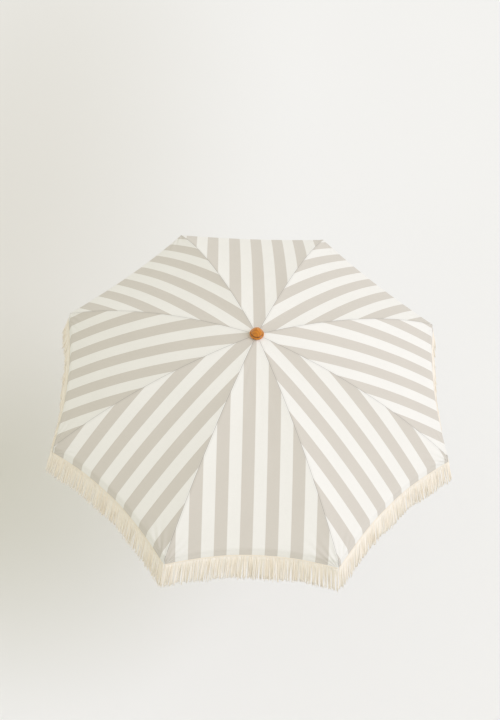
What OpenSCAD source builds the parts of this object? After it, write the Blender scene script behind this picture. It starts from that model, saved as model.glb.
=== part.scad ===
// Beach umbrella: eight-rib canopy with valance and fringe on a two-part wooden pole.
// Upright, +Z along the pole, origin at the pole's ground tip. Millimetres.

/* [Canopy] */
// Radius from the pole's centre line to the cloth's corners, canopy open
canopy_radius = 900; // [850:10:1000]
// Height of the cloth's crown above the pole's ground tip
crown_height = 2130; // [2050:10:2300]
// Slope of the cloth beside the crown, in degrees
crown_slope = 6.3; // [5:0.1:8]
// Slope of the cloth at the rim, in degrees
rim_slope = 37.9; // [35:0.1:40]
// Thickness of the cloth
cloth = 1.5; // [1:0.1:2]
// How far the hem curves in between two ribs
hem_curve = 50; // [20:1:70]
// Drop of the striped valance below the hem
valance_drop = 56; // [40:1:80]
// Length of the cotton fringe below the valance
fringe_drop = 145; // [100:1:170]
// Outward lean of the hanging valance and fringe, in degrees
edge_lean = 12; // [0:1:15]

/* [Ribs] */
// Diameter of a rib's rod
rib_d = 7; // [6:0.5:8]
// Thickness of a rib's and a stretcher's eye blade and lug
blade = 3; // [2.4:0.1:3.4]
// Radius of the eye round a pivot
eye_r = 4.2; // [4:0.1:4.6]
// Distance from the pole's centre line to the stretcher's lug, canopy open
lug_radius = 372; // [340:2:400]
// Drop from the rod's centre line to the lug's pivot
lug_drop = 10; // [9.5:0.5:12]
// Outside diameter of the cap on a rib's end
tip_d = 10; // [9:0.5:11]
// Length of the cap's straight sleeve
tip_sleeve = 20; // [16:1:24]

/* [Crown hub] */
// Outside diameter of the slotted hub
hub_d = 68; // [66:1:76]
// Radius of the wire ring on which the ribs turn
crown_ring_r = 27; // [26:0.5:28]
// Diameter of the ring's wire
ring_wire = 3; // [2.4:0.1:3.4]
// Length of the collar under the hub
hub_collar = 30; // [20:1:50]

/* [Finial] */
// Diameter of the finial's base
finial_d = 60; // [50:1:66]
// Thickness of the finial's base
finial_base = 9; // [7:0.5:12]
// Height of the bud above the base
finial_bud = 34; // [30:1:44]
// Diameter of the finial's stud
stud_d = 12; // [10:0.5:14]
// Depth of the stud in the pole
stud_depth = 28; // [20:1:40]

/* [Stretchers and runner] */
// Diameter of a stretcher's rod
stretcher_d = 5.6; // [5:0.2:6]
// Radius on which the stretchers meet the runner
runner_ring_r = 27; // [26:0.5:28]
// Drop from the cloth's crown to the stretchers' pivots on the runner, canopy open
runner_drop = 400; // [380:5:430]
// Diameter of a rivet
rivet_d = 3; // [2.6:0.1:3.4]
// Outside diameter of the runner's flange
flange_d = 68; // [66:1:70]
// Outside diameter of the runner's sleeve
sleeve_d = 42; // [40:0.5:43]
// Length of the sleeve below the pivots
sleeve_down = 98; // [92:1:120]
// Length of the sleeve above the pivots
sleeve_up = 22; // [14:1:30]

/* [Pole] */
// Diameter of the wooden pole
pole_d = 32; // [30:0.5:34]
// Height of the top of the lower half's ferrule
joint_height = 1000; // [900:5:1010]
// Depth of the spigot in the ferrule
spigot_depth = 105; // [80:1:120]
// Outside diameter of the ferrule
ferrule_d = 38; // [37:0.5:42]
// Length of the ferrule over the lower pole
ferrule_grip = 50; // [40:1:80]
// Length of the pointed foot
foot_length = 60; // [50:1:90]
// Height of the sand mark, a shallow groove round the lower pole
sand_mark = 360; // [300:5:420]
// Width of the sand mark
mark_w = 4; // [3:0.5:6]

/* [Tilt joint] */
// Rise of the tilt hinge above the ferrule
hinge_rise = 62; // [50:1:90]
// Diameter of the tilt pin
tilt_pin_d = 10; // [8:0.5:12]
// Radius of the knuckle round the tilt pin
knuckle_r = 17; // [16:0.5:18]
// Width of the middle tongue
tongue_w = 17.4; // [14:0.2:20]
// Thickness of each fork cheek
cheek_w = 8; // [6:0.5:10]
// Diameter of the tilt knob
knob_d = 42; // [36:1:48]
// Thickness of the tilt knob
knob_w = 15; // [12:1:20]
// Length of the socket on the upper pole
socket_length = 58; // [45:1:80]
// Wall of the socket on the upper pole
socket_wall = 3.5; // [3:0.5:5]

/* [Thumb screws] */
// Diameter of a thumb screw's head
screw_head_d = 18; // [15:0.5:20]
// Length of a thumb screw's head
screw_head_l = 14; // [10:1:18]
// Diameter of a thumb screw's shank
screw_d = 6; // [5:0.5:7]
// Diameter of the boss round the shank
boss_d = 16; // [14:0.5:18]

/* [Fits] */
// Gap between soft pieces, and between pieces that only touch
gap = 0.3; // [0.2:0.05:0.5]
// Gap between a pin and its hole
pin_gap = 0.1; // [0.05:0.01:0.2]
// Gap between the runner and the pole
slide_gap = 0.3; // [0.2:0.05:0.5]
// Gap on each side of a blade in its slot
slot_gap = 0.3; // [0.2:0.05:0.5]

/* [Hidden] */
$fn = 48;

// The ribs stand at the corners of a regular octagon, half a step off the axes.
rib_count = 8;
half_gore = 180 / rib_count;
function rib_angle(k) = half_gore + 2 * half_gore * (k - 1);
function gore_angle(k) = 2 * half_gore * k;

// The cloth follows one arc in each rib's plane. A depth is measured under the cloth's top face.
cloth_rho = canopy_radius / (sin(rim_slope) - sin(crown_slope));
arc_x = -cloth_rho * sin(crown_slope);
arc_z = crown_height - cloth_rho * cos(crown_slope);
function on_arc(depth, slope) = [arc_x + (cloth_rho - depth) * sin(slope), arc_z + (cloth_rho - depth) * cos(slope)];
function slope_at(depth, r) = asin((r - arc_x) / (cloth_rho - depth));
function cloth_z(depth, r) = on_arc(depth, slope_at(depth, r))[1];
function along(length) = length / cloth_rho * 180 / PI;

// Rib: the cap on its end just clears the cloth, which drops away on both sides of the rib.
rib_depth = cloth + (gap + tip_d / 2) / cos(half_gore * sin(rim_slope));
rib_rho = cloth_rho - rib_depth;
crown_pivot = [crown_ring_r, cloth_z(rib_depth, crown_ring_r) - 2];
rod_start_r = hub_d / 2 + rib_d;
rod_start = slope_at(rib_depth, rod_start_r);
lug_slope = slope_at(rib_depth, lug_radius);
lug_pivot = on_arc(rib_depth + lug_drop, lug_slope);
lug_w = 10;
slot_w = blade + 2 * slot_gap;
eye_slot_r = crown_ring_r - eye_r - 0.5;

// Hub: its flange lies under the cloth, its ring lies in an open groove.
hub_r = hub_d / 2;
hub_skirt = 7;
hub_wall = 4.5;
hub_bottom = crown_pivot[1] - hub_skirt;
pole_top = crown_pivot[1] - 2;
slot_top = crown_pivot[1] + eye_r + 0.5;
ring_groove = ring_wire + 2 * pin_gap;
function under_cloth(r) = cloth_z(cloth + gap, r / cos(half_gore));
cloth_hole_r = stud_d / 2 + 3;

// Runner and stretchers.
runner_pivot = [runner_ring_r, crown_height - runner_drop];
reach = lug_pivot - runner_pivot;
stretcher_length = norm(reach);
stretcher_lift = atan2(reach[1], reach[0]);
cheek_t = 1.5;
fork_side = blade / 2 + gap;
fork_w = 2 * (fork_side + cheek_t);
fork_reach = 15;
rivet_head = 1;
rivet_l = fork_w + 2 * rivet_head;
flange_up = 8;
flange_down = 9;
flange_r = flange_d / 2;
inner_blade = flange_r - runner_ring_r + 8;
notch_w = rivet_l + 2 * gap;
runner_bore_d = pole_d + 2 * slide_gap;
runner_screw_z = runner_pivot[1] - 80;
boss_out = 7;

// Pole.
pole_r = pole_d / 2;
ferrule_r = ferrule_d / 2;
ferrule_wall = 5;
spigot_r = ferrule_r - 6;
ferrule_floor = joint_height - spigot_depth - gap;
lower_pole_top = ferrule_floor - ferrule_wall;
foot_tip_r = 3;
tenon_r = 8;
tenon_length = 30;
pole_screw_z = joint_height - 40;
collar_h = 10;
tilt_height = joint_height + hinge_rise;
fork_base = joint_height + gap;
socket_r = pole_r + socket_wall;
socket_floor = tilt_height + knuckle_r + 16;
neck_h = 6;
pin_head = 5;

// Cloth grid: rows from crown to hem, columns from rib to rib.
rows = 19;
columns = 10;
tip_slit = tip_d / 2 + 2 * gap;

module ring(inner, outer, height) {
    difference() {
        cylinder(r = outer, h = height);
        translate([0, 0, -1]) cylinder(r = inner, h = height + 2);
    }
}

module in_rib_plane(k) {
    rotate([0, 0, rib_angle(k)]) rotate([90, 0, 0]) children();
}

// Turned point that is pushed into the sand, with a tenon into the pole.
module foot_cap() {
    color("silver") {
        cylinder(r1 = foot_tip_r, r2 = pole_r, h = foot_length);
        translate([0, 0, foot_length]) cylinder(r = tenon_r, h = tenon_length);
    }
}

module lower_pole() {
    color("burlywood") difference() {
        translate([0, 0, foot_length]) cylinder(r = pole_r, h = lower_pole_top - foot_length);
        translate([0, 0, foot_length - 1]) cylinder(r = tenon_r, h = tenon_length + 1);
        translate([0, 0, sand_mark]) ring(pole_r - 1, pole_r + 2, mark_w);
    }
}

// Metal sleeve on the lower pole, which takes the upper half's spigot and a thumb screw.
module pole_ferrule() {
    color("silver") difference() {
        union() {
            translate([0, 0, lower_pole_top - ferrule_grip])
                cylinder(r = ferrule_r, h = joint_height - lower_pole_top + ferrule_grip);
            translate([0, 0, pole_screw_z]) rotate([0, 90, 0]) cylinder(d = boss_d, h = ferrule_r + boss_out);
        }
        translate([0, 0, lower_pole_top - ferrule_grip - 1]) cylinder(r = pole_r, h = ferrule_grip + 1);
        translate([0, 0, ferrule_floor]) cylinder(r = spigot_r + pin_gap, h = spigot_depth + 2);
        translate([0, 0, pole_screw_z]) rotate([0, 90, 0]) cylinder(d = screw_d + 2 * pin_gap, h = ferrule_r + 20);
    }
}

// Thumb screw with a waisted head, its tip just short of what it clamps.
module thumb_screw(clamped_r, boss_r) {
    rotate([0, 90, 0]) {
        translate([0, 0, clamped_r + gap]) cylinder(d = screw_d, h = boss_r - clamped_r + 2);
        translate([0, 0, boss_r + gap]) difference() {
            cylinder(d = screw_head_d, h = screw_head_l);
            for (side = [-1, 1]) translate([-screw_head_d, side * screw_head_d / 2 - 3, 4])
                cube([2 * screw_head_d, 6, screw_head_l]);
        }
    }
}

module pole_screw() {
    color("dimgray") translate([0, 0, pole_screw_z]) thumb_screw(spigot_r, ferrule_r + boss_out);
}

module runner_screw() {
    color("dimgray") translate([0, 0, runner_screw_z]) thumb_screw(pole_r, sleeve_d / 2 + boss_out);
}

module tilt_bore(clearance) {
    translate([-50, 0, tilt_height]) rotate([0, 90, 0]) cylinder(d = tilt_pin_d + 2 * clearance, h = 100);
}

// Lower half of the tilt joint: spigot, collar and two cheeks.
module tilt_fork_lower() {
    outer = tongue_w / 2 + gap + cheek_w;
    color("silver") difference() {
        union() {
            translate([0, 0, fork_base - spigot_depth]) cylinder(r = spigot_r, h = spigot_depth + 1);
            translate([0, 0, fork_base]) cylinder(r = ferrule_r, h = collar_h);
            translate([-outer, -knuckle_r, fork_base + 2])
                cube([2 * outer, 2 * knuckle_r, tilt_height - fork_base - 2]);
            translate([-outer, 0, tilt_height]) rotate([0, 90, 0]) cylinder(r = knuckle_r, h = 2 * outer);
        }
        translate([-tongue_w / 2 - gap, -2 * knuckle_r, tilt_height - knuckle_r - 2 * gap])
            cube([tongue_w + 2 * gap, 4 * knuckle_r, 3 * knuckle_r]);
        tilt_bore(0);
    }
}

module tilt_pin() {
    outer = tongue_w / 2 + gap + cheek_w;
    color("gray") translate([-outer - pin_head, 0, tilt_height]) rotate([0, 90, 0]) {
        cylinder(d = 1.8 * tilt_pin_d, h = pin_head);
        cylinder(d = tilt_pin_d, h = 2 * outer + pin_head + knob_w - 3);
    }
}

// Lobed hand knob on the tilt pin's threaded end.
module tilt_knob() {
    outer = tongue_w / 2 + gap + cheek_w;
    color("dimgray") translate([outer + gap, 0, tilt_height]) rotate([0, 90, 0]) difference() {
        union() {
            cylinder(d = 0.72 * knob_d, h = knob_w);
            for (a = [0:60:300]) rotate(a) translate([0.34 * knob_d, 0, 3])
                cylinder(d = 0.32 * knob_d, h = knob_w - 3);
        }
        translate([0, 0, -1]) cylinder(d = tilt_pin_d + 2 * pin_gap, h = knob_w - 1);
    }
}

// Upper half of the tilt joint: tongue, neck and the socket on the upper pole.
module tilt_fork_upper() {
    color("silver") difference() {
        union() {
            translate([-tongue_w / 2, 0, tilt_height]) rotate([0, 90, 0]) cylinder(r = knuckle_r, h = tongue_w);
            translate([-tongue_w / 2, -knuckle_r, tilt_height])
                cube([tongue_w, 2 * knuckle_r, socket_floor - tilt_height]);
            translate([0, 0, socket_floor - neck_h]) cylinder(r = socket_r, h = socket_length + neck_h);
        }
        translate([0, 0, socket_floor]) cylinder(r = pole_r, h = socket_length + 1);
        tilt_bore(pin_gap);
    }
}

module upper_pole() {
    color("burlywood") difference() {
        translate([0, 0, socket_floor]) cylinder(r = pole_r, h = pole_top - socket_floor);
        translate([0, 0, pole_top - stud_depth]) cylinder(d = stud_d, h = stud_depth + 1);
    }
}

// Moulded hub: a cap on the pole, with a slot for each rib's eye and a groove for the ring.
module crown_hub() {
    color("ivory") difference() {
        rotate_extrude() polygon(concat(
            [[0, hub_bottom - hub_collar], [pole_r + hub_wall, hub_bottom - hub_collar],
             [pole_r + hub_wall, hub_bottom], [hub_r, hub_bottom]],
            [for (i = [4:-1:0]) [hub_r * i / 4, under_cloth(hub_r * i / 4)]]));
        translate([0, 0, hub_bottom - hub_collar - 1]) cylinder(r = pole_r, h = pole_top - hub_bottom + hub_collar + 1);
        translate([0, 0, pole_top - 1]) cylinder(d = stud_d, h = 30);
        for (k = [1:rib_count]) rotate(rib_angle(k)) translate([eye_slot_r, -slot_w / 2, hub_bottom - 1])
            cube([hub_r, slot_w, slot_top - hub_bottom + 1]);
        rotate_extrude() translate([crown_ring_r - ring_groove / 2, crown_pivot[1] - ring_groove / 2])
            square([hub_r, ring_groove]);
    }
}

module crown_ring() {
    color("lightgray") rotate_extrude() translate(crown_pivot) circle(d = ring_wire);
}

// Turned wooden bud that clamps the cloth to the hub, with a stud down into the pole.
// The bud's side is one bow, from the widest point of its waist to its tip on the axis.
module finial() {
    base_r = finial_d / 2;
    base_top = crown_height + finial_base;
    neck_r = base_r - 7;
    bud_r = base_r - 5;
    bud_side = [bud_r, finial_bud - 4];
    bud_bow = 1.5 * norm(bud_side);
    bud_centre = bud_side / 2 - [bud_side[1], bud_side[0]] * sqrt(pow(bud_bow / norm(bud_side), 2) - 0.25);
    color("peru") {
        rotate_extrude() {
            polygon(concat(
                [[0, base_top - 2], [base_r - 2.5, base_top - 2]],
                [[base_r - 2.5, base_top - 3], [base_r, base_top - 5]],
                [for (i = [4:-1:0]) [base_r * i / 4, cloth_z(-gap, base_r * i / 4)]]));
            translate([base_r - 3, base_top - 3]) circle(r = 3);
            square_from(0, base_top - 3, base_r - 3, 3);
            square_from(0, base_top - 1, neck_r, 4);
            translate([bud_r - 2.5, base_top + 4]) circle(r = 2.5);
            square_from(0, base_top + 1.5, bud_r - 2.5, 5);
            intersection() {
                square_from(0, base_top + 4, bud_r, finial_bud - 4);
                translate([0, base_top + 4]) translate(bud_centre) circle(r = bud_bow, $fn = 96);
            }
        }
        translate([0, 0, pole_top - stud_depth]) cylinder(d = stud_d, h = crown_height - pole_top + stud_depth + 2);
    }
}

module square_from(x, z, width, height) {
    translate([x, z]) square([width, height]);
}

// Sliding runner: slotted flange over a plain sleeve, with notches open below and outside.
module runner() {
    color("ivory") difference() {
        union() {
            translate([0, 0, runner_pivot[1] - flange_down]) cylinder(r = flange_r, h = flange_up + flange_down);
            translate([0, 0, runner_pivot[1] - sleeve_down]) cylinder(d = sleeve_d, h = sleeve_down + sleeve_up);
            translate([0, 0, runner_screw_z]) rotate([0, 90, 0]) cylinder(d = boss_d, h = sleeve_d / 2 + boss_out);
        }
        translate([0, 0, runner_pivot[1] - sleeve_down - 1]) cylinder(d = runner_bore_d, h = sleeve_down + sleeve_up + 2);
        for (k = [1:rib_count]) rotate(rib_angle(k)) {
            translate([runner_ring_r - eye_r - 0.5, -slot_w / 2, runner_pivot[1] - flange_down - 1])
                cube([flange_r, slot_w, flange_up + flange_down + 2]);
            translate([runner_ring_r - rivet_d / 2 - gap, -notch_w / 2, runner_pivot[1] - flange_down - 1])
                cube([flange_r, notch_w, flange_down + 1 + rivet_d / 2 + gap]);
        }
        translate([0, 0, runner_screw_z]) rotate([0, 90, 0]) cylinder(d = screw_d + 2 * pin_gap, h = sleeve_d);
    }
}

// Rib: bent rod, a flat eye on the crown ring and a lug for the stretcher.
module rib(k) {
    blade_end = on_arc(rib_depth, slope_at(rib_depth, rod_start_r + 12));
    color("lightgray") in_rib_plane(k) {
        translate([arc_x, arc_z]) rotate(90 - rim_slope) rotate_extrude(angle = rim_slope - rod_start, $fn = 96)
            translate([rib_rho, 0]) circle(d = rib_d, $fn = 24);
        difference() {
            linear_extrude(blade, center = true) {
                translate(crown_pivot) circle(r = eye_r);
                polygon([crown_pivot + [0, -2.8], blade_end + [0, -2.8], blade_end + [0, 2.8], crown_pivot + [0, 2.8]]);
            }
            translate(crown_pivot) cylinder(d = ring_wire + 4 * pin_gap, h = 2 * blade, center = true);
        }
        translate(on_arc(rib_depth, lug_slope)) rotate(-lug_slope) difference() {
            linear_extrude(blade, center = true) {
                translate([-lug_w / 2, -lug_drop]) square([lug_w, lug_drop]);
                translate([0, -lug_drop]) circle(r = lug_w / 2);
            }
            translate([0, -lug_drop]) cylinder(d = rivet_d + 2 * pin_gap, h = 2 * blade, center = true);
        }
    }
}

// Moulded cap on a rib's end, which holds the cloth's corner and pokes out past the rim.
module rib_tip(k) {
    color("ivory") in_rib_plane(k) translate(on_arc(rib_depth, rim_slope)) rotate(-rim_slope) rotate([0, 90, 0])
        difference() {
            union() {
                translate([0, 0, -tip_sleeve + 4]) cylinder(d = tip_d, h = tip_sleeve);
                translate([0, 0, 4]) sphere(d = tip_d, $fn = 32);
            }
            translate([0, 0, -tip_sleeve]) cylinder(d = rib_d + pin_gap, h = tip_sleeve);
        }
}

// Stretcher: a rod with a riveted blade at the runner and a riveted fork at the rib's lug.
module stretcher(k) {
    far = stretcher_length;
    color("lightgray") in_rib_plane(k) translate(runner_pivot) rotate(stretcher_lift) {
        linear_extrude(blade, center = true) {
            circle(r = eye_r);
            square_from(0, -stretcher_d / 2, inner_blade + 6, stretcher_d);
        }
        cylinder(d = rivet_d, h = rivet_l, center = true, $fn = 24);
        translate([inner_blade, 0, 0]) rotate([0, 90, 0])
            cylinder(d = stretcher_d, h = far - inner_blade - fork_reach + 4, $fn = 24);
        translate([far - fork_reach, -stretcher_d / 2, -fork_w / 2]) cube([fork_reach - 7, stretcher_d, fork_w]);
        for (side = [-1, 1]) translate([0, 0, side * (fork_side + cheek_t / 2)])
            linear_extrude(cheek_t, center = true) {
                translate([far, 0]) circle(r = eye_r, $fn = 32);
                square_from(far - fork_reach, -stretcher_d / 2, fork_reach, stretcher_d);
            }
        translate([far, 0, 0]) cylinder(d = rivet_d, h = rivet_l, center = true, $fn = 24);
    }
}

// Cloth between two ribs: level from rib to rib, its hem curved in between them.
function hem_slope(v) = rim_slope - along(hem_curve * (1 - v * v));
function gore_point(depth, slope, v, side_gap) =
    let (p = on_arc(depth, slope))
    [p[0] * cos(half_gore), v * (p[0] * sin(half_gore) - side_gap), p[1]];

// Faces of a closed block of points: two layers, each of m rows by n columns.
function block_faces(m, n) =
    let (at = function (layer, i, j) layer * m * n + i * n + j)
    concat(
        [for (i = [0:m - 2], j = [0:n - 2]) each [
            [at(0, i, j), at(0, i + 1, j + 1), at(0, i + 1, j)], [at(0, i, j), at(0, i, j + 1), at(0, i + 1, j + 1)],
            [at(1, i, j), at(1, i + 1, j), at(1, i + 1, j + 1)], [at(1, i, j), at(1, i + 1, j + 1), at(1, i, j + 1)]]],
        [for (i = [0:m - 2]) each [
            [at(0, i, 0), at(0, i + 1, 0), at(1, i + 1, 0)], [at(0, i, 0), at(1, i + 1, 0), at(1, i, 0)],
            [at(0, i, n - 1), at(1, i + 1, n - 1), at(0, i + 1, n - 1)],
            [at(0, i, n - 1), at(1, i, n - 1), at(1, i + 1, n - 1)]]],
        [for (j = [0:n - 2]) each [
            [at(0, 0, j), at(1, 0, j + 1), at(0, 0, j + 1)], [at(0, 0, j), at(1, 0, j), at(1, 0, j + 1)],
            [at(0, m - 1, j), at(0, m - 1, j + 1), at(1, m - 1, j + 1)],
            [at(0, m - 1, j), at(1, m - 1, j + 1), at(1, m - 1, j)]]]);

module panel(k) {
    start = slope_at(0, cloth_hole_r);
    points = [for (depth = [0, cloth], i = [0:rows], j = [0:columns])
        let (v = 2 * j / columns - 1)
        gore_point(depth, start + (hem_slope(v) - start) * i / rows, v, gap / 2 / cos(half_gore))];
    color("gainsboro") rotate(gore_angle(k)) polyhedron(points, block_faces(rows + 1, columns + 1), convexity = 4);
}

// Valance and fringe hang from the hem as one thin sheet, slit at each rib's end.
module valance(k) {
    drop = valance_drop + fringe_drop;
    points = [for (layer = [0, 1], i = [0, 1], j = [0:columns])
        let (v = 2 * j / columns - 1,
            hem = gore_point(0, hem_slope(v), v, tip_slit / cos(half_gore)), out = i * drop * tan(edge_lean))
        hem + [gap + (1 - layer) * cloth + out, v * out * tan(half_gore), -i * drop]];
    color("antiquewhite") rotate(gore_angle(k)) polyhedron(points, block_faces(2, columns + 1), convexity = 4);
}

foot_cap();
lower_pole();
pole_ferrule();
pole_screw();
tilt_fork_lower();
tilt_pin();
tilt_knob();
tilt_fork_upper();
upper_pole();
crown_hub();
crown_ring();
finial();
runner();
runner_screw();
for (k = [1:rib_count]) {
    rib(k);
    rib_tip(k);
    stretcher(k);
    panel(k);
    valance(k);
}
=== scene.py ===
import math

import bpy
import numpy as np
from mathutils import Matrix, Vector, noise
from mathutils.bvhtree import BVHTree


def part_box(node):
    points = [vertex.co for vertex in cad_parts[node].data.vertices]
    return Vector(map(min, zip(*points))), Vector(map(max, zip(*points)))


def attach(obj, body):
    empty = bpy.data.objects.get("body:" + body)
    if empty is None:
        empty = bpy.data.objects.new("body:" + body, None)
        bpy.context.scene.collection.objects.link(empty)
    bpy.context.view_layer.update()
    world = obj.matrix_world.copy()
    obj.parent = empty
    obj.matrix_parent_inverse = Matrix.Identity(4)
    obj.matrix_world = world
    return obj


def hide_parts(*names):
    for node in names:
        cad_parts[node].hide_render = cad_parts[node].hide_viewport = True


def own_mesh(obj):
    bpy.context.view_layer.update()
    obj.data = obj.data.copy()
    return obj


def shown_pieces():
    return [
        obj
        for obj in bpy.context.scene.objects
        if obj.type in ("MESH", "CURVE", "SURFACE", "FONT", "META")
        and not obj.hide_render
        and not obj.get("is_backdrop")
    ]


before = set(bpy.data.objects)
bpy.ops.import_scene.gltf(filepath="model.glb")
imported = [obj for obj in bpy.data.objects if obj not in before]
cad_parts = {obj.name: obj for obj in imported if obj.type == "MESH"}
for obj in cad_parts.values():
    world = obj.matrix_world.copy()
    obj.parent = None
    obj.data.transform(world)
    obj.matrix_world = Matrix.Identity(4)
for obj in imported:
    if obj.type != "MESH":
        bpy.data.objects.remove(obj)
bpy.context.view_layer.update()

# Camera: looks down on the open canopy at the angle that the photograph has to the pole.
# There the umbrella rests on its rim; here it stands on its pole, so the floor lies further back.
IMAGE_WIDTH, IMAGE_HEIGHT = 500, 720
LONG_SIDE = max(IMAGE_WIDTH, IMAGE_HEIGHT)
edge_points = {"left": 48, "right": 453, "top": 234, "bottom": 592}
image_points = {
    "finial": (255.2, 334),
    "corner_top_left": (186, 237), "corner_top_right": (324.5, 239.5),
    "corner_right_upper": (432.5, 323), "corner_right_lower": (445, 455),
    "corner_bottom_right": (338.5, 560), "corner_bottom_left": (168, 556.5),
    "corner_left_lower": (55, 444), "corner_left_upper": (70.5, 313),
}
lens, sensor_width, shift_x, shift_y = 52.15, 36.0, 0.0, 0.0
camera_distance = 4.3135
camera_elevation = math.radians(56.24)
camera_azimuth = math.radians(-3.99)
camera_roll = math.radians(-4.95)
crown_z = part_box("panel_8")[1].z
aim = Vector((-0.0249, -0.0882, crown_z - 0.06))

towards = Vector((math.sin(camera_azimuth) * math.cos(camera_elevation),
                  -math.cos(camera_azimuth) * math.cos(camera_elevation), math.sin(camera_elevation)))
level = Vector((0, 0, 1)).cross(towards).normalized()
upward = towards.cross(level)
camera_up = upward * math.cos(camera_roll) + level * math.sin(camera_roll)
camera_right = camera_up.cross(towards)
camera = bpy.data.objects.new("camera", bpy.data.cameras.new("camera"))
bpy.context.scene.collection.objects.link(camera)
camera.data.lens, camera.data.sensor_width = lens, sensor_width
camera.data.sensor_fit = "AUTO"
camera.data.shift_x, camera.data.shift_y = shift_x, shift_y
camera_axes = Matrix((camera_right, camera_up, towards)).transposed()
camera.matrix_world = Matrix.Translation(aim + towards * camera_distance) @ camera_axes.to_4x4()
bpy.context.scene.camera = camera


def surface_at(x, y, tree):
    """The place on a surface that shows at an image point. A miss takes the place nearest the ray."""
    ray = camera_axes @ Vector((x - IMAGE_WIDTH / 2 + shift_x * LONG_SIDE,
                                IMAGE_HEIGHT / 2 - y + shift_y * LONG_SIDE,
                                -LONG_SIDE * lens / sensor_width)).normalized()
    start = camera.matrix_world.translation
    hit = tree.ray_cast(start, ray)[0]
    if hit is not None:
        return hit
    steps = [start + ray * (camera_distance * (0.6 + 0.8 * i / 400)) for i in range(401)]
    return min((tree.find_nearest(p) for p in steps), key=lambda found: found[3])[0]


def shown_at(point):
    """The image place of a point in the row frame."""
    p = camera.matrix_world.inverted() @ Vector(point)
    scale = LONG_SIDE * lens / sensor_width / -p.z
    return (IMAGE_WIDTH / 2 - shift_x * LONG_SIDE + p.x * scale,
            IMAGE_HEIGHT / 2 + shift_y * LONG_SIDE - p.y * scale)


# Canopy panels: eight gores cut from one striped cotton canvas and sewn rib to rib, about 0.7 mm thick.
# Each is taut between two ribs, sags a little between them, and turns down softly over the rim.
RIBS = 8
HALF_GORE = math.pi / RIBS
WHOLE_TURN = 2 * math.pi
crown_slope, rim_slope = math.radians(6.3), math.radians(37.9)
corner_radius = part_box("panel_8")[1].x / math.cos(HALF_GORE)
cloth_rho = corner_radius / (math.sin(rim_slope) - math.sin(crown_slope))
hem_curve = 0.050
cloth_hole = 0.009
canvas_thickness = 0.0007
sag, ripple_height = 0.006, 0.0012
# The edge turns down on this radius, then hangs straight. The panel ends just past the roll, and the valance
# ends at turned_depth, both measured along the cloth from where it starts to turn.
hem_roll = 0.028
edge_lean = math.radians(15.5)
roll_end = math.pi / 2 - edge_lean
turned_over, turned_depth = 0.003, 0.056
# How far the hanging edge sways at swing_length below the roll: a slow drift, and an even wave.
edge_drift, edge_wave, swing_length = 0.006, 0.0035, 0.2
# At each corner the rib's capped end presses the cloth out, and neighbouring edges part below it.
corner_round = 0.012
tip_centre = (0.004, 0.00696)
tip_bulge, tip_spread = 0.0016, 0.011
seam_gap, corner_split = 0.00015, 0.0020
seam_depth, seam_width = 0.0012, 0.0022
# Along the cloth: one grey and one white stripe, half the grey one's share, and how soft its edge is.
stripe_period, half_grey, grey_blur = 0.102, 0.251, 0.005
weft_pitch, warp_pitch = 0.0011, 0.0012
seam_stitch_in, hem_stitch_in, stitch_length = 0.006, 0.0125, 0.0045
# A grey stripe's middle in each gore, halfway to the rim, in the photograph.
stripe_points = {1: (339.4, 290.2), 2: (257.5, 259.7), 3: (175.8, 280.2), 4: (129.8, 355.4),
                 5: (160.9, 429.3), 6: (248.2, 466.9), 7: (354.3, 428.5), 8: (377.7, 352.2)}


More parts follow.
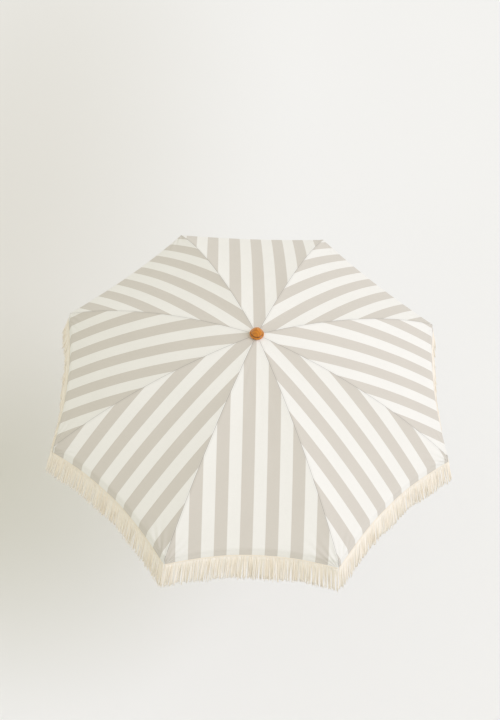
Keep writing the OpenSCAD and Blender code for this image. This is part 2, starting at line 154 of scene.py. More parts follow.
class Flow:
    """A value that flows through a material's nodes, so that shader maths reads as arithmetic."""

    def __init__(self, tree, socket=None):
        self.tree, self.socket = tree, socket

    def node(self, kind, settings=None, values=None, output=0):
        """A new node's output: its settings are set first, then the value or link of each socket."""
        made = self.tree.nodes.new(kind)
        for name, value in (settings or {}).items():
            setattr(made, name, value)
        for name, value in (values or {}).items():
            if isinstance(value, Flow):
                self.tree.links.new(value.socket, made.inputs[name])
            else:
                made.inputs[name].default_value = value
        return Flow(self.tree, made.outputs[output])

    def maths(self, operation, *values):
        return self.node("ShaderNodeMath", {"operation": operation}, dict(enumerate(values or (self,))))

    def __add__(self, other):
        return self.maths("ADD", self, other)

    def __sub__(self, other):
        return self.maths("SUBTRACT", self, other)

    def __mul__(self, other):
        return self.maths("MULTIPLY", self, other)

    def __truediv__(self, other):
        return self.maths("DIVIDE", self, other)

    def __rsub__(self, other):
        return self.maths("SUBTRACT", other, self)

    __radd__, __rmul__ = __add__, __mul__

    def fraction(self):
        return self.maths("FRACT")

    def size(self):
        return self.maths("ABSOLUTE")

    def wave(self):
        return self.maths("SINE")

    def between(self, low, high):
        """0 at low and 1 at high, smooth in between."""
        return self.node("ShaderNodeMapRange", {"interpolation_type": "SMOOTHSTEP"},
                         {"Value": self, "From Min": low, "From Max": high})

    def parts(self):
        """This vector's x, y and z."""
        return [self.node("ShaderNodeSeparateXYZ", None, {0: self}, axis) for axis in range(3)]

    def stretched(self, *scale):
        """This vector with its x, y and z times their own scales."""
        return self.node("ShaderNodeVectorMath", {"operation": "MULTIPLY"}, {0: self, 1: scale})

    def speckle(self, scale, detail=2.0, roughness=0.5):
        """Noise from 0 to 1 over this vector."""
        return self.node("ShaderNodeTexNoise", None,
                         {"Vector": self, "Scale": scale, "Detail": detail, "Roughness": roughness})

    def tint(self, first, second):
        """A colour from first, at 0, to second, at 1."""
        return self.node("ShaderNodeMix", {"data_type": "RGBA"}, {0: self, 6: first, 7: second}, 2)

    def shade(self, colour):
        """The colour, darkened to this value's share."""
        grey = self.node("ShaderNodeCombineColor", None, {0: self, 1: self, 2: self})
        return self.node("ShaderNodeMix", {"data_type": "RGBA", "blend_type": "MULTIPLY"},
                         {0: 1.0, 6: colour, 7: grey}, 2)

    def bump(self, distance, strength=1.0):
        return self.node("ShaderNodeBump", None, {"Height": self, "Distance": distance, "Strength": strength})


def finish_of(name, recipe, **constants):
    """A material: constants are set on the shader, and recipe(flow) gives what varies over the surface."""
    made = bpy.data.materials.new(name)
    made.use_nodes = True
    shader = made.node_tree.nodes["Principled BSDF"]
    for socket, value in constants.items():
        shader.inputs[socket.replace("_", " ")].default_value = value
    for socket, flow in recipe(Flow(made.node_tree)).items():
        made.node_tree.links.new(flow.socket, shader.inputs[socket])
    return made


def written(red, green, blue):
    """A colour as it is written in sRGB, for a socket that wants linear light."""
    return tuple(((c / 255 + 0.055) / 1.055) ** 2.4 for c in (red, green, blue)) + (1.0,)


def striped_canvas(flow):
    """Yarn-dyed stripes, a plain weave with slubs, lockstitches beside the seams and the hem, and painted shade in
    the fold beside each seam.
    """
    across, along, _ = flow.node("ShaderNodeUVMap", {"uv_map": "cloth"}).parts()
    from_seam, from_hem, _ = flow.node("ShaderNodeUVMap", {"uv_map": "edges"}).parts()
    threads = flow.node("ShaderNodeCombineXYZ", None, {0: across, 1: along})
    warp_slub = threads.stretched(900, 30, 1).speckle(1.0, 1.0)
    weft_slub = threads.stretched(30, 900, 1).speckle(1.0, 1.0)
    fading = threads.stretched(1, 1, 1).speckle(5.0, 3.0)
    stripe = ((across / stripe_period + 0.5).fraction() - 0.5).size()
    grey = stripe.between(half_grey + grey_blur, half_grey - grey_blur)
    colour = grey.tint(written(241, 239, 232), written(214, 208, 197))
    worn = 0.93 + 0.05 * warp_slub + 0.05 * weft_slub + 0.05 * fading
    seam_stitch = (from_seam - seam_stitch_in).size().between(0.0011, 0.0004)
    hem_stitch = (from_hem - hem_stitch_in).size().between(0.0009, 0.0003)
    dash = (along / stitch_length).fraction().between(0.2, 0.35) * seam_stitch
    hem_dash = (across / stitch_length).fraction().between(0.2, 0.35) * hem_stitch
    # Painted shade: the cloth is darkened in the fold beside each seam, down to 55% at the seam itself.
    painted_seam_shade = from_seam.between(0.0018, 0.0)
    weave = (across * (WHOLE_TURN / weft_pitch)).wave() * (along * (WHOLE_TURN / warp_pitch)).wave()
    pucker = threads.stretched(30, 130, 1).speckle(1.0, 1.0) * from_seam.between(0.035, 0.0)
    from_corner = (from_seam * from_seam + from_hem * from_hem).maths("SQRT")
    spoke = from_seam.maths("ARCTAN2", from_seam, from_hem)
    folds = (spoke * 17 + 5 * threads.stretched(9, 9, 1).speckle(1.0, 1.0)).wave()
    folds = folds * from_corner.between(0.20, 0.05) * from_corner.between(0.0, 0.04)
    height = 0.12 * weave + 0.5 * warp_slub + 0.4 * weft_slub + 2.2 * pucker
    height = height - dash - hem_dash + 3.2 * folds
    tone = (worn - 0.09 * dash - 0.05 * hem_dash) * (1 - 0.45 * painted_seam_shade)
    return {"Base Color": tone.shade(colour),
            "Roughness": 0.86 + 0.08 * weft_slub,
            "Normal": height.bump(0.0006, 0.6)}


canvas = finish_of("striped_canvas", striped_canvas, IOR=1.35, Sheen_Weight=0.15, Sheen_Roughness=0.6)


def on_arc(slope, depth=0.0):
    """Radius and height of the rib's arc at a slope, a depth under the cloth's top face."""
    return ((cloth_rho - depth) * math.sin(slope) - cloth_rho * math.sin(crown_slope),
            crown_z - cloth_rho * math.cos(crown_slope) + (cloth_rho - depth) * math.cos(slope))


def hem_slope(v):
    """The arc's slope at the hem, v being -1 and 1 at the gore's two seams and 0 in its middle."""
    return rim_slope - hem_curve * (1 - v * v) / cloth_rho


def gore_turn(k):
    """Turns gore k's own frame, in which x points out along its middle, into the row frame."""
    return Matrix.Rotation(2 * HALF_GORE * k, 4, "Z")


def hem_point(v):
    """Outward distance and height of the cloth's hem in its gore's own plane, and its slope there."""
    slope = hem_slope(v)
    r, z = on_arc(slope)
    return r * math.cos(HALF_GORE), z, math.atan2(math.sin(slope), math.cos(slope) * math.cos(HALF_GORE))


def eased(value, low, high):
    """0 up to low and 1 from high, smooth in between."""
    t = min(1.0, max(0.0, (value - low) / (high - low)))
    return t * t * (3 - 2 * t)


def roll_length(v):
    """Length of cloth that the turn takes up."""
    return hem_roll * (roll_end - hem_point(v)[2])


def sagging(v, u):
    """How far the cloth sinks between its ribs, u being 0 at the crown and 1 at the rim."""
    return sag * (1 - v * v) * math.sin(math.pi * min(1, u * 1.02))


def seam_tuck(from_seam):
    """How far the sewn seam draws the cloth in."""
    return seam_depth * math.exp(-(from_seam / seam_width) ** 2)


def turned_edge(v, reach, k, out=0.0):
    """A point of gore k's turned-down edge, reach metres along the cloth from where it starts to turn."""
    x, z, slope = hem_point(v)
    bend = min(roll_end, slope + reach / hem_roll)
    free = max(0.0, reach - roll_length(v))
    from_corner = (1 - abs(v)) * x * math.tan(HALF_GORE)
    swing = edge_drift * noise.noise(Vector((v * 2.6, 1.7 * k, 0.5))) * (1 - v ** 8)
    swing += edge_wave * math.sin(9 * v + 2.1 * k) * (1 - v ** 6)
    from_tip = math.hypot(from_corner, reach - tip_centre[0])
    out += tip_bulge * math.exp(-(from_tip / tip_spread) ** 2)
    out -= seam_tuck(from_corner) * (1 - eased(reach, 0.010, 0.026))
    pull = max(0.0, corner_round - from_corner) ** 2 / (2 * corner_round) * math.tan(HALF_GORE)
    x += hem_roll * (math.sin(bend) - math.sin(slope)) + free * math.cos(roll_end) + out * math.sin(bend)
    x += swing * free / swing_length - pull * eased(reach, 0.008, 0.034)
    z += hem_roll * (math.cos(bend) - math.cos(slope)) - free * math.sin(roll_end) + out * math.cos(bend)
    split = seam_gap + corner_split * eased(reach, 0.024, 0.050) * (1 - eased(reach, 0.050, 0.080))
    return x, v * (x * math.tan(HALF_GORE) - split), z


def cloth_object(name, grid, cloth, edges, k, thickness, material=canvas):
    """A sheet of cloth from a grid of points in gore k's own frame, with its two maps."""
    rows, columns = len(grid), len(grid[0])
    mesh = bpy.data.meshes.new(name)
    faces = [(i * columns + j, (i + 1) * columns + j, (i + 1) * columns + j + 1, i * columns + j + 1)
             for i in range(rows - 1) for j in range(columns - 1)]
    turn = gore_turn(k)
    mesh.from_pydata([turn @ Vector(p) for row in grid for p in row], [], faces)
    for map_name, values in (("cloth", cloth), ("edges", edges)):
        flat = [value for row in values for value in row]
        layer = mesh.uv_layers.new(name=map_name)
        corners = np.array([flat[loop.vertex_index] for loop in mesh.loops], np.float32)
        layer.uv.foreach_set("vector", corners.ravel())
    mesh.polygons.foreach_set("use_smooth", [True] * len(mesh.polygons))
    made = bpy.data.objects.new(name, mesh)
    bpy.context.scene.collection.objects.link(made)
    shell = made.modifiers.new("thickness", "SOLIDIFY")
    shell.thickness, shell.offset, shell.use_flat_faces = thickness, -1, True
    made.data.materials.append(material)
    return made


def spread_to(edge, middle, close):
    """Columns from -1 to 1, close together beside the seams."""
    inner = [edge * j / middle for j in range(-middle, middle + 1)]
    return [-c for c in reversed(close)] + inner + list(close)


cloth_columns = spread_to(0.94, 17, (0.955, 0.97, 0.98, 0.988, 0.994, 1.0))
panel_rows, turned_rows = 64, 12


def panel_grid(k, phase):
    """Gore k's points from the crown to just past the turned edge, with each one's place on its two maps."""
    grid = []
    start = math.asin((cloth_hole + cloth_rho * math.sin(crown_slope)) / cloth_rho)
    for i in range(panel_rows + 1):
        u = i / panel_rows
        row = []
        for v in cloth_columns:
            slope = start + (hem_slope(v) - start) * u
            r, z = on_arc(slope)
            half = r * math.sin(HALF_GORE) - seam_gap
            from_seam = (1 - abs(v)) * half
            ripple = noise.noise(Vector((v * 6, u * 9, 3.1 * k))) * ripple_height * math.sin(math.pi * u)
            sunk = sagging(v, u) + ripple * (1 - v * v) + seam_tuck(from_seam)
            x = r * math.cos(HALF_GORE) - sunk * math.sin(slope)
            row.append((x, v * half, z - sunk * math.cos(slope), from_seam,
                        cloth_rho * (slope - crown_slope), cloth_rho * (hem_slope(v) - slope) + turned_depth))
        grid.append(row)
    for step in range(1, turned_rows + 1):
        row = []
        for j, v in enumerate(cloth_columns):
            from_seam, along = grid[panel_rows][j][3:5]
            reach = (roll_length(v) + turned_over) * step / turned_rows
            row.append((*turned_edge(v, reach, k), from_seam, along + reach, turned_depth - reach))
        grid.append(row)
    places = [[p[:3] for p in row] for row in grid]
    cloth = [[(p[1] - phase, p[4]) for p in row] for row in grid]
    edges = [[(p[3], p[5]) for p in row] for row in grid]
    return places, cloth, edges


def surface_tree(objects):
    """One search tree of the objects as they are finished and placed."""
    depsgraph = bpy.context.evaluated_depsgraph_get()
    points, faces = [], []
    for one in objects:
        mesh = one.evaluated_get(depsgraph).to_mesh()
        first = len(points)
        points += [one.matrix_world @ vertex.co for vertex in mesh.vertices]
        faces += [[first + i for i in polygon.vertices] for polygon in mesh.polygons]
    return BVHTree.FromPolygons(points, faces)


bare_gores = surface_tree([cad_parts[f"panel_{k}"] for k in range(1, RIBS + 1)])
stripe_phase = {}
for k, (x, y) in stripe_points.items():
    stripe_phase[k] = (gore_turn(k).inverted() @ surface_at(x, y, bare_gores)).y
panel_width = 2 * corner_radius * math.sin(HALF_GORE)


def centre_length(end, first=crown_slope, steps=100):
    """Length of a gore's middle line, and its area per unit of half width, between two slopes."""
    slopes = [first + (end - first) * (j + 0.5) / steps for j in range(steps)]
    spans = [cloth_rho * (end - first) / steps * math.hypot(math.cos(t) * math.cos(HALF_GORE), math.sin(t))
             for t in slopes]
    return sum(spans), sum(span * on_arc(t)[0] * math.sin(HALF_GORE) for span, t in zip(spans, slopes))


panel_length = centre_length(hem_slope(0))[0] + roll_length(0) + turned_over
panel_area = sum(centre_length(hem_slope((i + 0.5) / 100 - 1))[1] / 100 for i in range(200))
panel_area += panel_width * (roll_length(0) + turned_over)

# Outward is sideways from the gore's middle line.
panels = {}
for k in range(1, RIBS + 1):
    panel = cloth_object(f"canvas_panel_{k}", *panel_grid(k, stripe_phase[k]), k, canvas_thickness)
    outward = gore_turn(k) @ Vector((0, 1, 0))
    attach(panel, f"panel_{k}")
    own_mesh(panel)
    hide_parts(f"panel_{k}")
    panels[k] = panel

# Seam tapes, ties and pockets: herringbone cotton tape sewn under each seam, with three loops round the rib.
# At the rim a folded pocket of the same tape is sewn to the cloth and takes the rib's capped end.
rib_depth = tip_centre[1]
tape_half, tape_gap, tape_thickness, herringbone_pitch = 0.014, 0.0001, 0.0005, 0.0024
tie_slopes = [math.radians(d) for d in (15.0, 23.0, 31.0)]
tie_width, tie_radius, tie_thickness = 0.009, 0.0042, 0.0004
pocket_radius, pocket_length, pocket_thickness = 0.0062, 0.030, 0.0004
pocket_foot, pocket_flange, pocket_tip = 0.0095, 0.012, 0.0004
# Between these two places along the rib the pocket's flanges fold in to its sleeve.
flange_fade = (-0.012, -0.003)
tape_start, tape_rows, tape_columns, pocket_rows = 0.048, 48, 6, 18


def herringbone(flow):
    """Woven slanting ribs that turn back along the tape's middle."""
    across, along, _ = flow.node("ShaderNodeUVMap", {"uv_map": "cloth"}).parts()
    bone = ((along + across.size()) * (WHOLE_TURN / herringbone_pitch)).wave()
    grain = flow.node("ShaderNodeTexCoord", None, None, 3).speckle(600, 2)
    return {"Base Color": (0.92 + 0.03 * bone + 0.05 * grain).shade(written(240, 235, 222)),
            "Normal": (bone + grain).bump(0.0003, 0.5)}


cotton_tape = finish_of("cotton_tape", herringbone, Roughness=0.9, Sheen_Weight=0.15)


def under_seam(k, w, slope, depth):
    """A point under the cloth beside rib k's seam, w metres across it, depth under the cloth's inner face."""
    places = []
    for gore, side in ((k, -1), (k - 1, 1)):
        if w * side <= 0:
            r, z = on_arc(slope)
            half = r * math.sin(HALF_GORE)
            v = 1 - abs(w) / half
            u = (slope - crown_slope) / (hem_slope(v) - crown_slope)
            sunk = sagging(v, u) + seam_tuck(abs(w)) + canvas_thickness + depth
            places.append(gore_turn(gore) @ Vector((r * math.cos(HALF_GORE) - sunk * math.sin(slope),
                                                    side * v * half, z - sunk * math.cos(slope))))
    return sum(places, Vector()) / len(places)


def rib_turn(k):
    """Turns a frame in which x points out along rib k into the row frame."""
    return Matrix.Rotation(HALF_GORE * (2 * k - 1), 4, "Z")


def rim_point(k, t, w, depth):
    """A point by rib k's end: t metres out along the rib from the corner, w across, depth under the cloth."""
    turned_drop = hem_roll - math.sqrt(hem_roll ** 2 - max(0.0, t) ** 2)
    r, z = on_arc(rim_slope, depth + turned_drop)
    return rib_turn(k) @ Vector((r + t * math.cos(rim_slope), w, z - t * math.sin(rim_slope)))


def taped(name, k, grid, marks, thickness):
    """A piece of the tape from a grid of points in the row frame. It rides on rib k."""
    turn_back = gore_turn(k).inverted()
    made = cloth_object(name, [[turn_back @ p for p in row] for row in grid], marks, marks, k, thickness,
                        cotton_tape)
    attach(made, f"rib_{k}")
    return made


tape_first = math.asin((tape_start + cloth_rho * math.sin(crown_slope)) / cloth_rho)
tape_last = rim_slope - pocket_length / cloth_rho
for k in range(1, RIBS + 1):
    grid, marks = [], []
    for i in range(tape_rows + 1):
        slope = tape_first + (tape_last - tape_first) * i / tape_rows
        widths = [tape_half * n / tape_columns for n in range(-tape_columns, tape_columns + 1)]
        grid.append([under_seam(k, w, slope, tape_gap) for w in widths])
        marks.append([(w, cloth_rho * slope) for w in widths])
    tape = taped(f"seam_tape_{k}", k, grid, marks, tape_thickness)
    for n, slope in enumerate(tie_slopes):
        grid, marks = [], []
        for a in [math.radians(15 * i) for i in range(25)]:
            r, z = on_arc(slope, rib_depth - tie_radius * math.cos(a))
            widths = (-tie_width / 2, 0, tie_width / 2)
            grid.append([rib_turn(k) @ Vector((r + d * math.cos(slope), tie_radius * math.sin(a),
                                               z - d * math.sin(slope))) for d in widths])
            marks.append([(d, tie_radius * a) for d in widths])
        taped(f"rib_tie_{k}_{n + 1}", k, grid, marks, -tie_thickness)
    # The pocket: a sleeve round the rib's end, closed over its cap, with flanges that end near the rim.
    grid, marks = [], []
    for i in range(pocket_rows + 1):
        t = -pocket_length + (pocket_length + tip_centre[0] + pocket_radius) * (i / pocket_rows) ** 0.8
        beyond = max(0.0, t - tip_centre[0])
        round_off = math.sqrt(max(0.0, 1 - (beyond / pocket_radius) ** 2))
        radius = max(pocket_tip, pocket_radius * round_off)
        fall = math.tan(HALF_GORE) * math.sin(rim_slope)
        rise = math.sqrt(hem_roll ** 2 - max(0.0, t) ** 2) - hem_roll
        turns = [math.radians(a) for a in range(60, 301, 20)]
        section = [(-radius * math.sin(a), rib_depth + rise - radius * math.cos(a)) for a in turns]
        flat_share = 1 - eased(t, *flange_fade)
        for w in (pocket_foot, pocket_flange):
            for end, side in ((0, -1), (len(section), 1)):
                w_end, depth_end = section[0 if end == 0 else -1]
                flat = (side * w, w * fall + canvas_thickness + pocket_thickness)
                section.insert(end, (w_end + (flat[0] - w_end) * flat_share,
                                     depth_end + (flat[1] - depth_end) * flat_share))
        grid.append([rim_point(k, t, w, depth) for w, depth in section])
        marks.append([(n * 0.002, t) for n in range(len(section))])
    taped(f"rib_end_pocket_{k}", k, grid, marks, pocket_thickness)

# Valance: a strip of the same striped canvas, sewn on where the gore's edge has turned down.
# Its stripes meet the gore's. It hangs free, leans out a little and has a stitched lower hem,
# and neighbouring strips part a little below each rib end.
valance_rows = 9

for k in range(1, RIBS + 1):
    grid, cloth, edges = [], [], []
    for i in range(valance_rows + 1):
        places, marks = [], []
        for v in cloth_columns:
            first = roll_length(v) + turned_over
            reach = first + (turned_depth - first) * i / valance_rows
            places.append((turned_edge(v, reach, k), cloth_rho * (hem_slope(v) - crown_slope) + reach))
            marks.append(((1 - abs(v)) * places[-1][0][0] * math.tan(HALF_GORE), turned_depth - reach))
        grid.append([place for place, _ in places])
        cloth.append([(place[1] - stripe_phase[k], along) for place, along in places])
        edges.append(marks)
    valance = cloth_object(f"striped_valance_{k}", grid, cloth, edges, k, canvas_thickness)
    outward = gore_turn(k) @ Vector((0, 1, 0))
    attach(valance, f"valance_{k}")
    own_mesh(valance)
    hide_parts(f"valance_{k}")

# Fringe: a twisted cream cotton fringe, sewn by its woven heading to the valance's lower edge.
# Its yarns hang about 140 mm, lean out with the valance and gather in loose bundles.
fringe_length = 0.146
heading_height, heading_thickness, heading_rows, heading_pitch = 0.008, 0.0014, 5, 0.0032
heading_lift, heading_bulge = 0.0004, 0.0012
yarns_per_gore, yarn_rings, yarn_sides = 340, 7, 4
yarn_radius, yarn_twists, yarn_span = 0.0021, 34.5, 0.997
# The top of each yarn that the heading hides, the width of a bundle, and how far a yarn leans to its middle.
sewn_in, bundle, gathered = 0.002, 0.016, 0.2
rng = np.random.default_rng(11)


def cotton(flow):
    """Cream twisted cotton, whose shade differs a little from yarn to yarn."""
    which, down, _ = flow.node("ShaderNodeUVMap", {"uv_map": "cloth"}).parts()
    twist = ((down * yarn_twists + which * 7).fraction() - 0.5).size()
    tone = 0.98 + 0.02 * (which * 91.7).fraction()
    colour = (which * 37.3).fraction().tint(written(255, 250, 239), written(255, 245, 228))
    return {"Base Color": tone.shade(colour), "Normal": twist.bump(0.0005, 0.4)}


cotton_yarn = finish_of("cream_cotton", cotton, Roughness=1.0, IOR=1.3)


def heading_weave(flow):
    """The fringe's heading: short upright stitches of the same cotton."""
    across = flow.node("ShaderNodeUVMap", {"uv_map": "cloth"}).parts()[0]
    rib = (across * (WHOLE_TURN / heading_pitch)).wave()
    grain = flow.node("ShaderNodeTexCoord", None, None, 3).speckle(700, 2)
    tone = 0.94 + 0.02 * rib + 0.04 * grain
    return {"Base Color": tone.shade(written(253, 243, 224)), "Normal": (rib + grain).bump(0.0006, 0.5)}


heading_cotton = finish_of("fringe_heading", heading_weave, Roughness=0.9, Sheen_Weight=0.3)


def yarn_mesh(name, k):
    """All the yarns of one gore in one mesh: four-sided tubes, each thinner at its end."""
    along = np.linspace(0, 1, yarn_rings)
    points, faces, shades = [], [], []
    for n in range(yarns_per_gore):
        v = -yarn_span + 2 * yarn_span * (n + rng.uniform(0.1, 0.9)) / yarns_per_gore
        length = fringe_length * rng.uniform(0.94, 1.03)
        lean, sway = rng.normal(0, 0.02), rng.normal(0, 0.002)
        curl, phase = rng.uniform(0.0003, 0.0016), rng.uniform(0, WHOLE_TURN)
        spin, depth = rng.uniform(0, WHOLE_TURN), rng.uniform(-0.0008, 0.0008)
        shade = rng.uniform(0, 1)
        root = turned_edge(v, turned_depth - sewn_in, k, depth)[1]
        to_bundle = (math.floor(root / bundle) + 0.5) * bundle - root
        first = len(points)
        for t in along:
            x, y, z = turned_edge(v, turned_depth - sewn_in + length * t, k, depth)
            x += lean * length * t + curl * math.sin(phase + 5 * t) * t
            y += to_bundle * gathered * min(1, 1.6 * t) + sway * t + curl * math.cos(phase + 4 * t) * t
            radius = yarn_radius * (1 - 0.35 * t)
            for corner in range(yarn_sides):
                a = spin + corner * WHOLE_TURN / yarn_sides
                points.append((x + radius * math.cos(a), y + radius * math.sin(a), z))
                shades.append((shade, t))
        for ring in range(first, first + yarn_sides * (yarn_rings - 1), yarn_sides):
            for corner in range(yarn_sides):
                a, b = ring + corner, ring + (corner + 1) % yarn_sides
                faces.append((a, a + yarn_sides, b + yarn_sides, b))
        last = first + yarn_sides * (yarn_rings - 1)
        faces += [range(first, first + yarn_sides), range(last + yarn_sides - 1, last - 1, -1)]
    mesh = bpy.data.meshes.new(name)
    turn = np.array(gore_turn(k).to_3x3())
    mesh.from_pydata((np.array(points) @ turn.T).tolist(), [], faces)
    layer = mesh.uv_layers.new(name="cloth")
    index = np.zeros(len(mesh.loops), np.int32)
    mesh.loops.foreach_get("vertex_index", index)
    layer.uv.foreach_set("vector", np.array(shades, np.float32)[index].ravel())
    mesh.polygons.foreach_set("use_smooth", [True] * len(mesh.polygons))
    return mesh


for k in range(1, RIBS + 1):
    grid, cloth, edges = [], [], []
    for step in range(heading_rows + 1):
        down = turned_depth - heading_height + (heading_height + sewn_in) * step / heading_rows
        bulge = heading_bulge * math.sin(math.pi * (step + 0.5) / (heading_rows + 1))
        row = [turned_edge(v, down, k, heading_lift + bulge) for v in cloth_columns]
        grid.append(row)
        cloth.append([(place[1], down) for place in row])
        edges.append([(0.05, 0.05) for _ in row])
    heading = cloth_object(f"fringe_heading_{k}", grid, cloth, edges, k, heading_thickness, heading_cotton)
    yarns = bpy.data.objects.new(f"fringe_yarns_{k}", yarn_mesh(f"fringe_yarns_{k}", k))
    bpy.context.scene.collection.objects.link(yarns)
    yarns.data.materials.append(cotton_yarn)
    outward = gore_turn(k) @ Vector((0, 1, 0))
    for piece in (heading, yarns):
        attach(piece, f"valance_{k}")
        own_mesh(piece)
    turned_depth - roll_length(0) - turned_over

# Finial: a turned hardwood bud, varnished amber, that screws down on the cloth and holds it to the hub.
# It has a rounded foot, a groove, a bead and a pointed bud.
foot_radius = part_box("finial")[1].x
bud_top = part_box("finial")[1].z
foot_top = crown_z + 0.009
foot_edge, groove_radius = 0.0035, foot_radius - 0.0075
bead_radius, bead_middle = 0.0022, foot_top + 0.0032
bud_radius, bud_low, bud_point = foot_radius - 0.0055, foot_top + 0.0060, 0.0004
seat_fall, seat_gap = 0.1, 0.0004
# The bud's side is an arc whose radius is this many times the straight line from its foot to its point.
bow_share = 1.5
# The tree's middle lies outside the turned piece, and its year rings are this far apart.
pith, ring_spacing = (0.019, 0.034, 0.0), 0.0042


def lathe(name, profile, segments=96):
    """A turned piece about the pole's axis, from (radius, height) points that start and end on the axis."""
    points, faces = [], []
    turns = [WHOLE_TURN * s / segments for s in range(segments)]
    for r, z in profile:
        points += [(r * math.cos(a), r * math.sin(a), z) for a in turns]
    for i in range(len(profile) - 1):
        for s in range(segments):
            a, b = i * segments + s, i * segments + (s + 1) % segments
            faces.append((a, b, b + segments, a + segments))
    faces.append(tuple(reversed(range(segments))))
    faces.append(tuple(range((len(profile) - 1) * segments, len(profile) * segments)))
    mesh = bpy.data.meshes.new(name)
    mesh.from_pydata(points, [], faces)
    mesh.polygons.foreach_set("use_smooth", [True] * len(mesh.polygons))
    made = bpy.data.objects.new(name, mesh)
    bpy.context.scene.collection.objects.link(made)
    return made


def turned(centre_r, centre_z, radius, first, last, steps):
    """Points of a round on the profile, between two angles in degrees from level outwards."""
    angles = [math.radians(first + (last - first) * i / steps) for i in range(steps + 1)]
    return [(centre_r + radius * math.cos(a), centre_z + radius * math.sin(a)) for a in angles]


def varnished_wood(pale, dark, scale, ring_share=0.35):
    """A recipe for turned wood with its grain along the pole, under clear varnish."""
    def recipe(flow):
        place = flow.node("ShaderNodeTexCoord", None, None, 3)
        from_pith = flow.node("ShaderNodeVectorMath", {"operation": "ADD"},
                              {0: place.stretched(1, 1, 0.03), 1: pith})
        from_pith = flow.node("ShaderNodeVectorMath", {"operation": "LENGTH"}, {0: from_pith}, 1)
        drift = place.stretched(3, 3, 0.4).speckle(scale, 2.0)
        fibres = place.stretched(45, 45, 1.2).speckle(scale * 3, 3.0, 0.6)
        rings = 0.5 + 0.5 * (from_pith * (WHOLE_TURN / ring_spacing) + 12 * drift).wave()
        grain = ring_share * rings + (1 - ring_share) * fibres
        return {"Base Color": grain.between(0.1, 0.9).tint(pale, dark),
                "Roughness": 0.32 + 0.18 * fibres,
                "Normal": fibres.bump(0.0003, 0.25)}
    return recipe


def amber_finish(flow):
    """The bud's amber wood, with painted shade that darkens the groove over the foot."""
    finish = varnished_wood(written(232, 148, 16), written(168, 92, 6), 9, 0.2)(flow)
    height = flow.node("ShaderNodeTexCoord", None, None, 3).parts()[2]
    # Painted shade: the wood just above the foot, in the groove under the bead, is darkened towards deep brown.
    painted_groove_shade = height.between(foot_top - 0.0012, foot_top + 0.0012)
    painted_groove_shade = painted_groove_shade * height.between(foot_top + 0.010, foot_top + 0.003)
    finish["Base Color"] = (painted_groove_shade * 0.85).tint(finish["Base Color"], written(96, 44, 6))
    return finish


amber_wood = finish_of("amber_varnished_wood", amber_finish, Specular_IOR_Level=0.2, Coat_Weight=0.7,
                       Coat_Roughness=0.06)
bud_rise = bud_top - bud_low
bow = bow_share * math.hypot(bud_radius, bud_rise)
behind = math.sqrt(bow_share ** 2 - 0.25)
bow_r, bow_z = bud_radius / 2 - bud_rise * behind, bud_low + bud_rise / 2 - bud_radius * behind
bud_first = math.degrees(math.atan2(bud_low - bow_z, bud_radius - bow_r))
bud_last = math.degrees(math.atan2(bud_top - bow_z, bud_point - bow_r))
seat = [(r, crown_z - seat_fall * r + seat_gap) for r in (0.012, foot_radius - 0.003)]
finial_profile = [(0.0, seat[0][1])] + seat
finial_profile += turned(foot_radius - foot_edge, foot_top - 0.0045, foot_edge, -60, 80, 10)
finial_profile += [(foot_radius - 0.0065, foot_top - 0.0002), (groove_radius, foot_top + 0.0008)]
finial_profile += turned(groove_radius, bead_middle, bead_radius, -80, 75, 8)
finial_profile += turned(bow_r, bow_z, bow, bud_first, bud_last, 24)
finial = lathe("turned_finial", finial_profile)
finial.data.materials.append(amber_wood)
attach(finial, "mast")
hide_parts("finial")

# Pole: two turned lengths of pale hardwood, varnished, 32 mm thick, joined by the ferrule and the tilt joint.
# The lower one has a shallow groove that marks how deep it goes into the sand.
def dress(material, *nodes):
    """Gives CAD nodes a finish, their shapes being right."""
    for name in nodes:
        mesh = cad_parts[name].data
        mesh.materials.clear()
        mesh.materials.append(material)


pole_grain = varnished_wood(written(218, 184, 140), written(188, 146, 100), 7)
pole_wood = finish_of("varnished_pole_wood", pole_grain, Coat_Weight=0.4, Coat_Roughness=0.2)
dress(pole_wood, "upper_pole", "lower_pole")


# Metal fittings: the ferrule, the two halves of the tilt joint and the pointed foot are turned aluminium.
# The tilt pin, the crown's wire ring and the stretchers are zinc-plated steel.
def turned_metal(colour, scale):
    """A recipe for metal with fine turning marks and faint handling wear."""
    def recipe(flow):
        place = flow.node("ShaderNodeTexCoord", None, None, 3)
        marks = place.stretched(1, 1, 40).speckle(scale, 2.0)
        wear = place.speckle(22, 4.0, 0.6)
        return {"Base Color": (0.88 + 0.14 * wear).shade(colour),
                "Roughness": 0.26 + 0.16 * marks + 0.14 * wear,
                "Normal": marks.bump(0.0002, 0.2)}
    return recipe


aluminium = finish_of("turned_aluminium", turned_metal(written(172, 174, 177), 30), Metallic=1.0)
steel = finish_of("plated_steel", turned_metal(written(165, 168, 172), 60), Metallic=1.0)
dress(aluminium, "pole_ferrule", "tilt_fork_lower", "tilt_fork_upper", "foot_cap")
dress(steel, "tilt_pin", "crown_ring", *[f"stretcher_{k}" for k in range(1, RIBS + 1)])


# Plastic parts: the hub, the runner and the rib caps are moulded in off-white nylon.
# The knob and the thumb screws are black nylon with a fine mould grain.
def moulded(colour, grain_depth):
    """A recipe for moulded plastic: fine mould grain, slightly uneven gloss."""
    def recipe(flow):
        place = flow.node("ShaderNodeTexCoord", None, None, 3)
        grain = place.speckle(900, 2.0)
        cloud = place.speckle(35, 3.0)
        return {"Base Color": (0.92 + 0.10 * cloud).shade(colour),
                "Roughness": 0.42 + 0.16 * cloud,
                "Normal": grain.bump(grain_depth, 0.4)}
    return recipe


pale_nylon = finish_of("off_white_nylon", moulded(written(232, 228, 216), 0.0002), Subsurface_Weight=0.05)
black_nylon = finish_of("black_nylon", moulded(written(34, 34, 36), 0.0003))
dress(pale_nylon, "crown_hub", "runner", *[f"rib_tip_{k}" for k in range(1, RIBS + 1)])
dress(black_nylon, "tilt_knob", "pole_screw", "runner_screw")


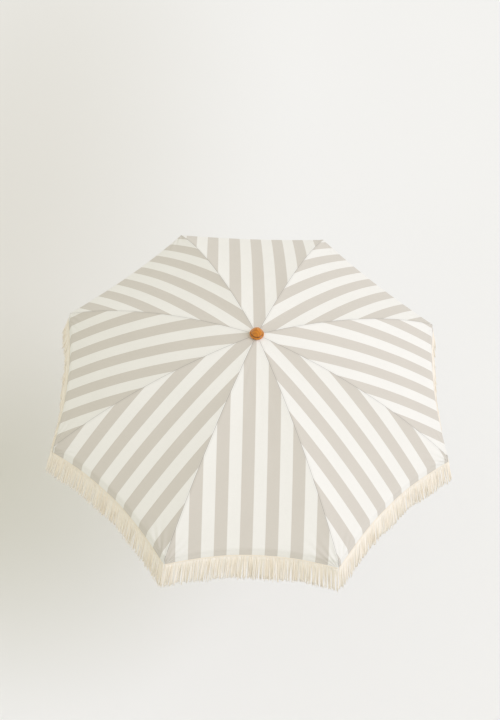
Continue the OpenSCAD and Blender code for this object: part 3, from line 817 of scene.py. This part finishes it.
# Ribs: pulled fibreglass rods, cream white and slightly glossy, with faint lengthwise fibres.
# Each turns by its eye on the crown's wire ring, and its lug takes the stretcher's fork.
def fibreglass(flow):
    """Cream glass fibre, slightly cloudy along the rod."""
    place = flow.node("ShaderNodeTexCoord", None, None, 3)
    fibres = place.stretched(60, 60, 12).speckle(9, 3.0)
    return {"Base Color": (0.90 + 0.12 * fibres).shade(written(236, 232, 220)),
            "Roughness": 0.3 + 0.15 * fibres,
            "Normal": fibres.bump(0.0002, 0.3)}


rib_fibreglass = finish_of("rib_fibreglass", fibreglass, Coat_Weight=0.2)
dress(rib_fibreglass, *[f"rib_{k}" for k in range(1, RIBS + 1)])

# Studio: a pale paper floor that runs far back, with a painted shadow that makes it a little dimmer at the left.
# An even white surround and one soft lamp from the upper right light the umbrella. The surround is a
# little weaker as light, at ambient, than where it shows as a backdrop, in gloss or through something.
floor_reach = 80.0
ambient, backdrop = 0.79, 0.888
lamp_from = Vector((0.67, -0.11, 0.72))
floor_mesh = bpy.data.meshes.new("floor")
floor_corners = [(-1, -1), (1, -1), (1, 1), (-1, 1)]
floor_mesh.from_pydata([(floor_reach * x, floor_reach * y, 0) for x, y in floor_corners], [], [(0, 1, 2, 3)])
floor = bpy.data.objects.new("floor", floor_mesh)
bpy.context.scene.collection.objects.link(floor)
floor.location.z = -0.0005
floor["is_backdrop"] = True


def plain_paper(flow):
    """Pale paper, slightly cloudy, with a painted shadow at the left that fades out with distance."""
    place = flow.node("ShaderNodeTexCoord", None, None, 3)
    far = flow.node("ShaderNodeVectorMath", {"operation": "LENGTH"}, {0: place}, 1).between(2.5, 9.0)
    across, along, _ = place.parts()
    # Painted shadow: the floor is darkened at the left and further back, fading out with distance.
    painted_shadow = across.between(0.6, -1.9) * along.between(-1.4, 1.2) * (1 - far)
    colour = painted_shadow.tint(written(242, 242, 240), written(223, 221, 213))
    return {"Base Color": (0.985 + 0.02 * place.speckle(0.7, 2.0)).shade(colour)}


floor.data.materials.append(finish_of("studio_floor", plain_paper, Roughness=0.9, Specular_IOR_Level=0.2))
world = bpy.data.worlds.new("surround")
bpy.context.scene.world = world
world.use_nodes = True
surround = Flow(world.node_tree)
camera_ray, glossy_ray, through_ray = [surround.node("ShaderNodeLightPath", None, None, n) for n in (0, 3, 6)]
seen = camera_ray + glossy_ray + through_ray
seen = seen.maths("MINIMUM", seen, 1.0)
lit = world.node_tree.nodes["Background"]
surround_colour = seen.tint((1.0, 0.986, 0.885, 1.0), (1.0, 0.995, 0.98, 1.0))
world.node_tree.links.new(surround_colour.socket, lit.inputs["Color"])
world.node_tree.links.new((ambient + (backdrop - ambient) * seen).socket, lit.inputs["Strength"])
key = bpy.data.objects.new("key_lamp", bpy.data.lights.new("key_lamp", "SUN"))
bpy.context.scene.collection.objects.link(key)
key.data.energy = 0.98
key.data.angle = math.radians(35)
key.data.color = (1.0, 1.01, 1.31)
key.rotation_euler = lamp_from.to_track_quat("Z", "Y").to_euler()
bpy.context.scene.view_settings.view_transform = "Standard"

# How far each thing shows from its image point, and the two boxes.
# An edge is the outermost finished vertex that shows, and a long mesh is read in even steps.
bpy.context.view_layer.update()
depsgraph = bpy.context.evaluated_depsgraph_get()
seen_places = []
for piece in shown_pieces():
    mesh = piece.evaluated_get(depsgraph).to_mesh()
    step = max(1, len(mesh.vertices) // 20000)
    seen_places += [shown_at(piece.matrix_world @ mesh.vertices[i].co) for i in range(0, len(mesh.vertices), step)]
across = [x for x, y in seen_places]
down = [y for x, y in seen_places]
shown = {"left": min(across), "right": max(across), "top": min(down), "bottom": max(down)}
misses = {name: round(shown[name] - value, 1) for name, value in edge_points.items()}
corner_names = ["corner_right_upper", "corner_top_right", "corner_top_left", "corner_left_upper",
                "corner_left_lower", "corner_bottom_left", "corner_bottom_right", "corner_right_lower"]
for n, name in enumerate(corner_names):
    angle = HALF_GORE * (2 * n + 1)
    r, z = on_arc(rim_slope)
    x, y = shown_at((r * math.cos(angle), r * math.sin(angle), z))
    misses[name] = [round(x - image_points[name][0], 1), round(y - image_points[name][1], 1)]
bud = [shown_at(vertex.co) for vertex in finial.data.vertices]
misses["finial"] = [round((min(p[i] for p in bud) + max(p[i] for p in bud)) / 2 - image_points["finial"][i], 1)
                    for i in (0, 1)]
dressed_gores = surface_tree(panels.values())
for k, (x, y) in stripe_points.items():
    local = gore_turn(k).inverted() @ surface_at(x, y, dressed_gores)
    shown_x, shown_y = shown_at(gore_turn(k) @ Vector((local.x, stripe_phase[k], local.z)))
    misses[f"stripe_{k}"] = [round(shown_x - x, 1), round(shown_y - y, 1)]
